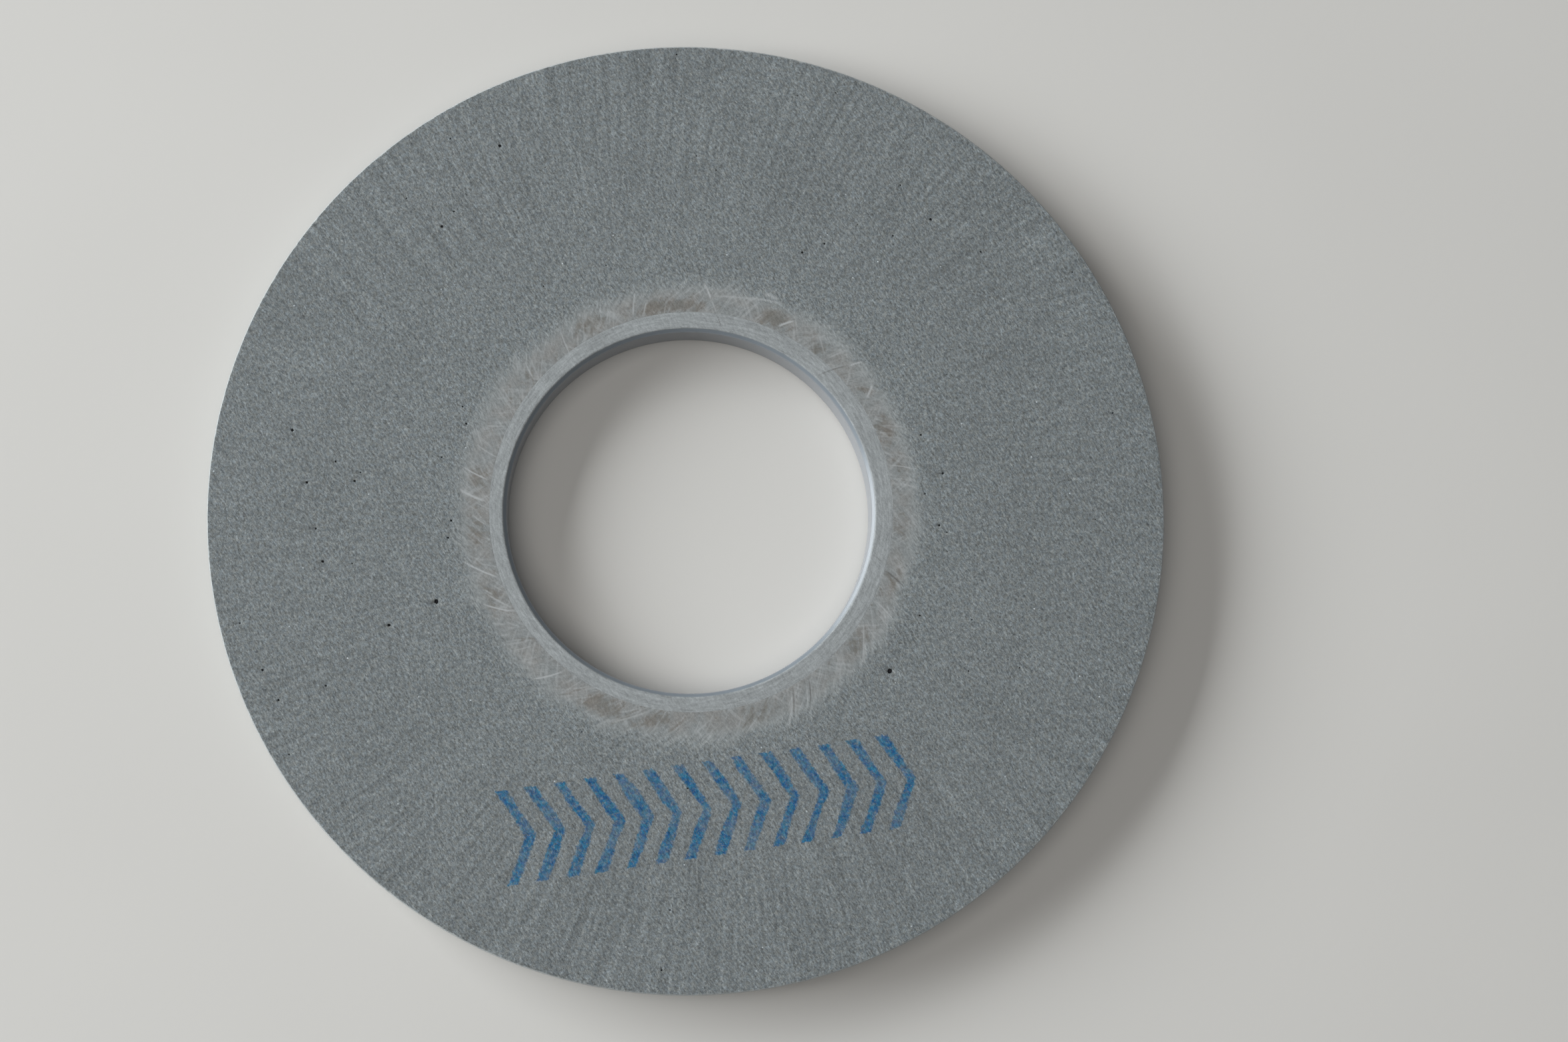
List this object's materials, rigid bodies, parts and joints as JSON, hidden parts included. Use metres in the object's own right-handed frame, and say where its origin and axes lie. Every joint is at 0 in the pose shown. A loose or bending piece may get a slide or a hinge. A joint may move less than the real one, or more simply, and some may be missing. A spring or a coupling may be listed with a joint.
{
  "type": "bonded abrasive wheel",
  "caption": "Straight bonded abrasive wheel with a bushed centre bore, resin collars around the bush and plain flat faces.",
  "frame": {"origin": "where the wheel's axis meets the plane of the back face", "axes": "+Z along the wheel's axis, out of the stamped front face; +X and +Y lie in the back face, with the stamp towards -Y"},
  "size_m": [0.2, 0.2, 0.01],
  "materials": {
    "abrasive": "fine-grit vitrified abrasive, matte, mid grey with dark pores",
    "bush": "cast pale grey filler, turned smooth, semi-matte",
    "cement": "cured cement line",
    "resin": "brown-grey resin soaked into grit, ground flush and scratched, satin"
  },
  "bodies": {
    "root": {"abrasive_ring": "abrasive", "bore_bush": "bush", "bush_cement": "cement", "front_resin_collar": "resin", "back_resin_collar": "resin"}
  },
  "joints": []
}
